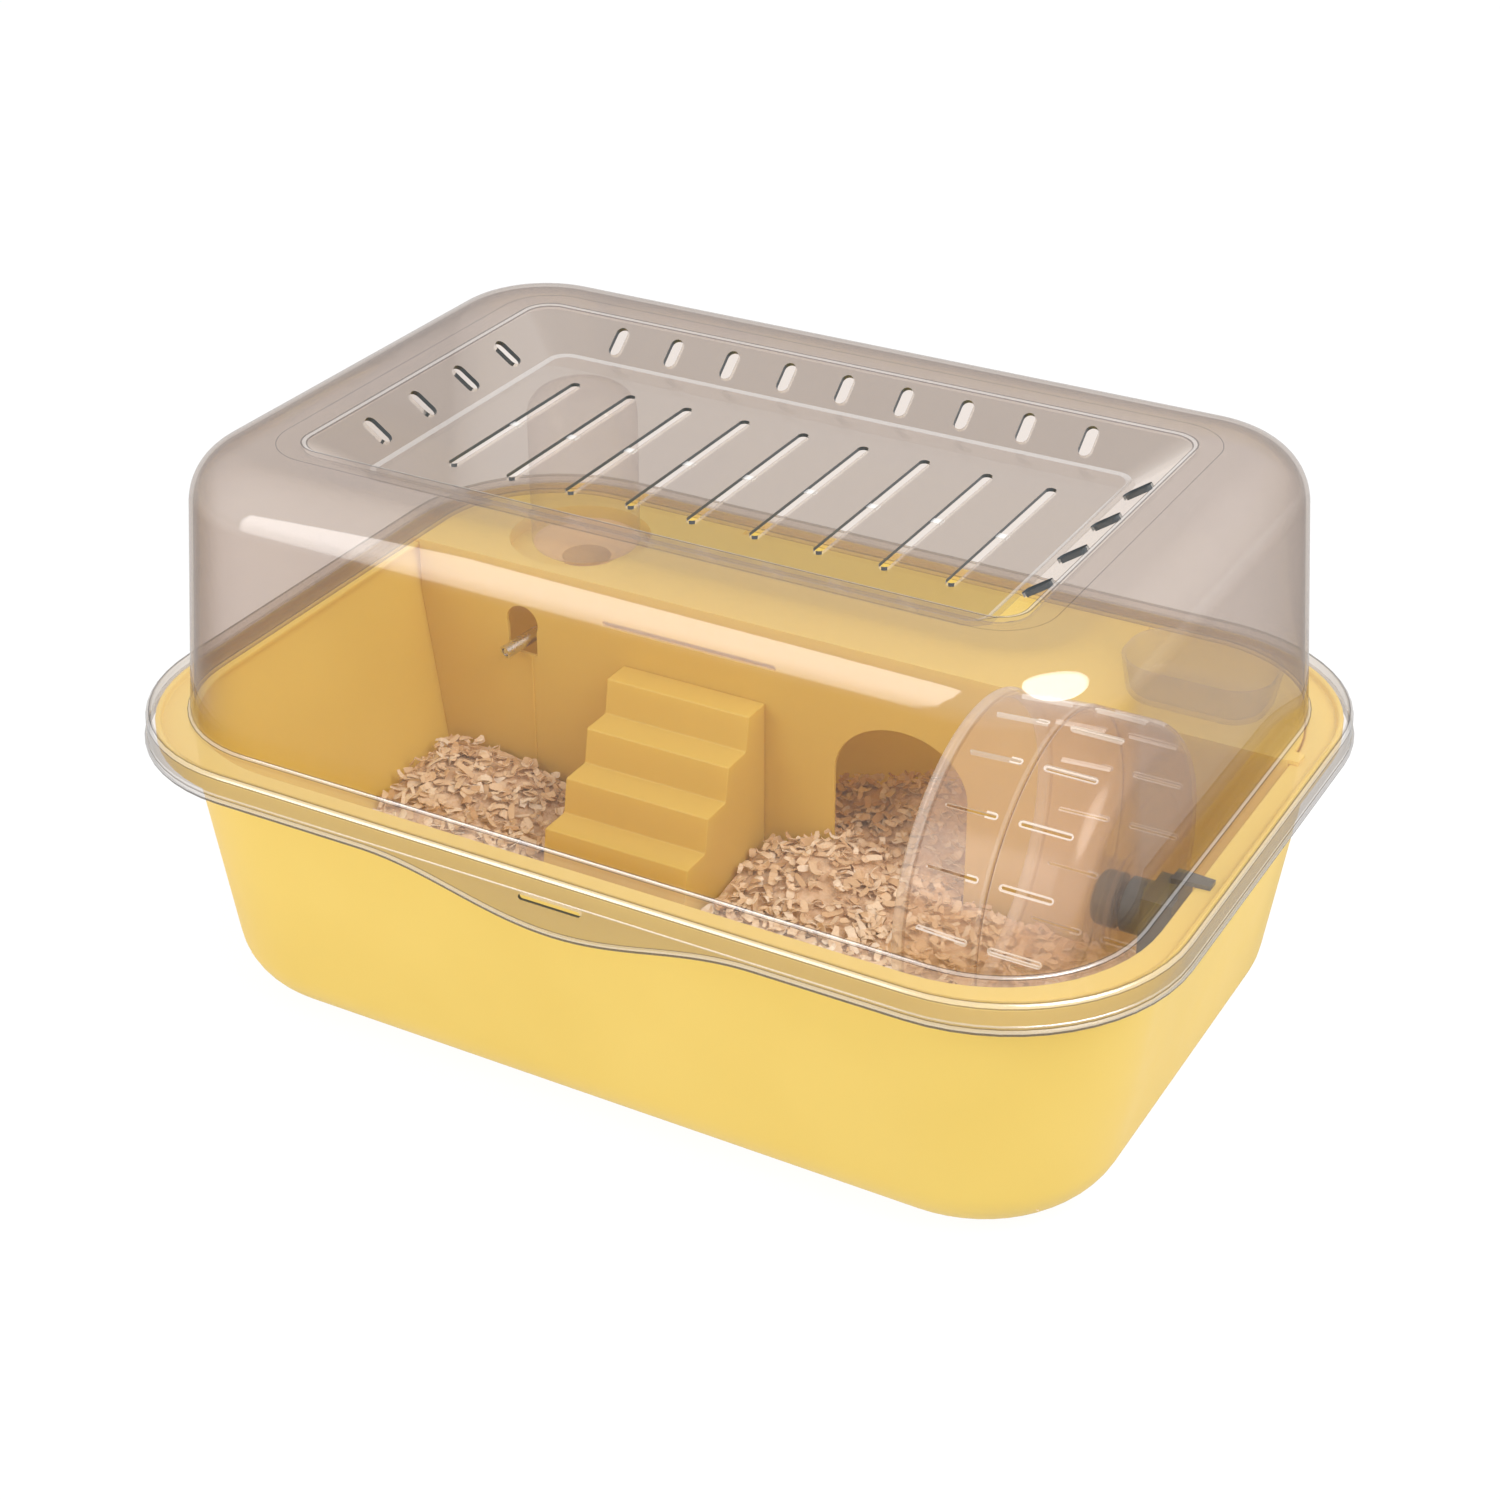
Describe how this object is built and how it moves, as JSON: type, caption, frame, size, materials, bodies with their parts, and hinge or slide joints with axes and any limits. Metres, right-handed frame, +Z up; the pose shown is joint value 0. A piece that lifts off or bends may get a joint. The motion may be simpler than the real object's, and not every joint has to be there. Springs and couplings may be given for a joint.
{
  "type": "hamster cage",
  "caption": "Small-pet cage: deep tub under a clear lift-off cover with a slotted recessed top, a loft with stairs, a running wheel, a water bottle and a food dish.",
  "frame": {"origin": "middle of the footprint, on the surface the tub stands on", "axes": "+Z up, +X along the length towards the running wheel, -Y towards the front with the pull tab"},
  "size_m": [0.5, 0.353, 0.269],
  "materials": {
    "yellow_plastic": "satin",
    "smoked_plastic": "polished",
    "clear_plastic": "polished",
    "grey_plastic": "satin",
    "steel": "polished",
    "seal_rubber": "matt",
    "wood_shavings": "matt"
  },
  "bodies": {
    "tub_body": {"tub": "yellow_plastic", "loft": "yellow_plastic", "stairs": "yellow_plastic", "wheel_axle": "steel", "axle_knob": "grey_plastic", "wheel_bracket": "grey_plastic", "bottle": "clear_plastic", "bottle_cap": "yellow_plastic", "bottle_seal": "seal_rubber", "drinking_spout": "steel", "bedding": "wood_shavings"},
    "cover_body": {"cover": "smoked_plastic"},
    "wheel": {"wheel_ring": "clear_plastic", "wheel_disc": "clear_plastic"},
    "dish": {"food_dish": "smoked_plastic"},
    "ball": {"spout_ball": "steel"}
  },
  "joints": [
    {"name": "cover_lift", "type": "slide", "parent": "tub_body", "child": "cover_body", "axis": [0, 0, 1], "range_m": [0, 0.12]},
    {"name": "wheel_spin", "type": "hinge", "parent": "tub_body", "child": "wheel", "pos_m": [0.2, -0.04, 0.119], "axis": [1, 0, 0], "continuous": true},
    {"name": "dish_lift", "type": "slide", "parent": "tub_body", "child": "dish", "axis": [0, 0, 1], "range_m": [0, 0.02]},
    {"name": "ball_push", "type": "slide", "parent": "tub_body", "child": "ball", "axis": [0.2879, 0.9418, 0.1737], "range_m": [0, 0.0015]}
  ]
}
